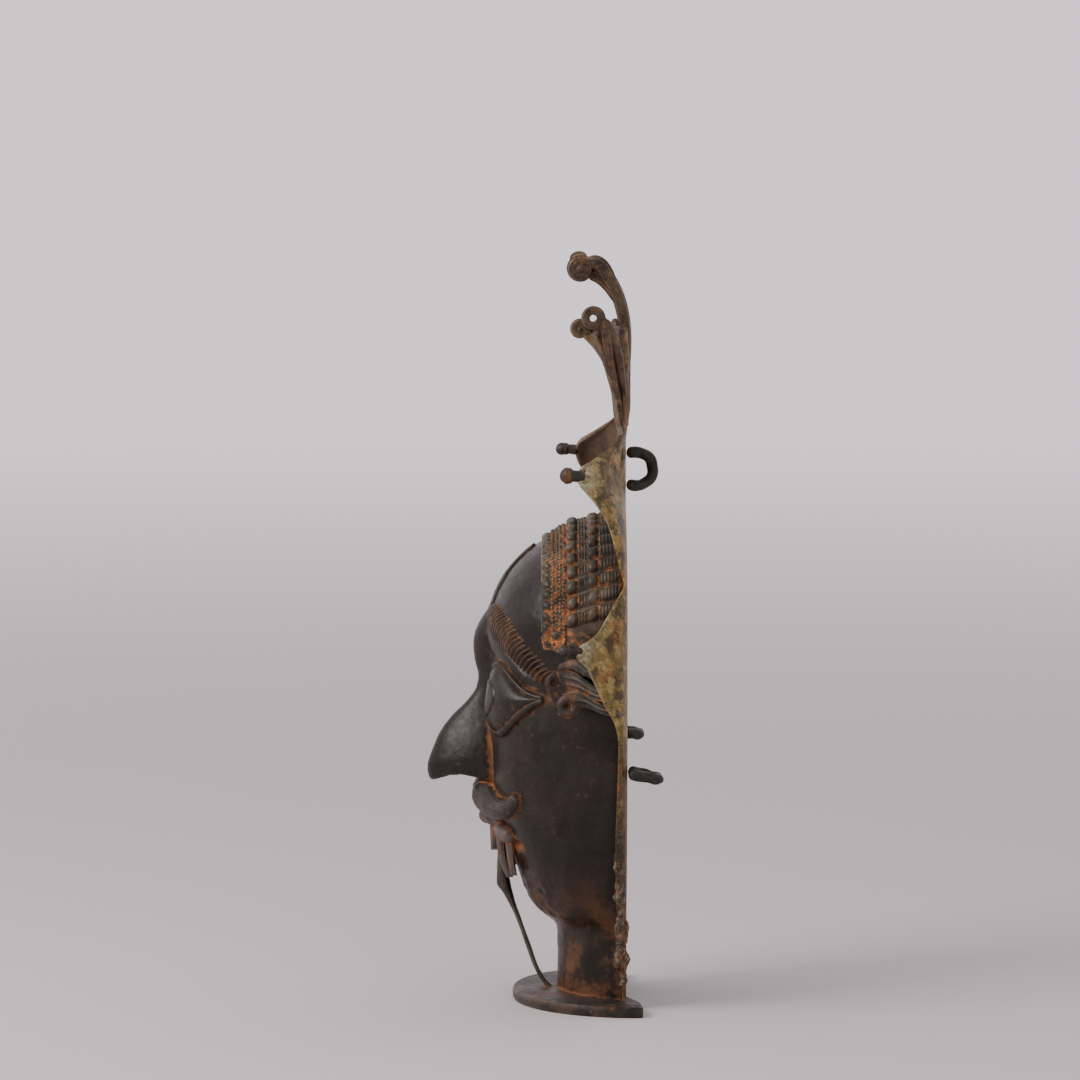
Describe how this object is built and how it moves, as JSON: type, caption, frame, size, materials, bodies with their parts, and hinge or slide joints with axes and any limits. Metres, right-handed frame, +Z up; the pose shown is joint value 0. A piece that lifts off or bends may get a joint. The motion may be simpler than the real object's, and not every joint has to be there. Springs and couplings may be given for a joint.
{
  "type": "bhuta mask",
  "caption": "Cast bronze spirit mask with a beaked nose, ribbed crown, petalled frame and scrolled crest, open at the back and standing on its own foot.",
  "frame": {"origin": "on the underside of the foot, under its middle", "axes": "+Z up; the face looks along -Y; +X is the face's own left"},
  "size_m": [0.2378, 0.1748, 0.5609],
  "materials": {
    "dark_bronze": "old bronze, dark brown, semi-gloss on the worn face, with orange-brown earth in the hollows",
    "worn_bronze": "dark bronze, handled smooth",
    "green_bronze": "dull bronze with green corrosion"
  },
  "bodies": {
    "root": {"mask": "dark_bronze", "tongue_stay": "worn_bronze", "back_loop_top": "green_bronze", "back_loop_left": "green_bronze", "back_loop_right": "green_bronze"}
  },
  "joints": []
}
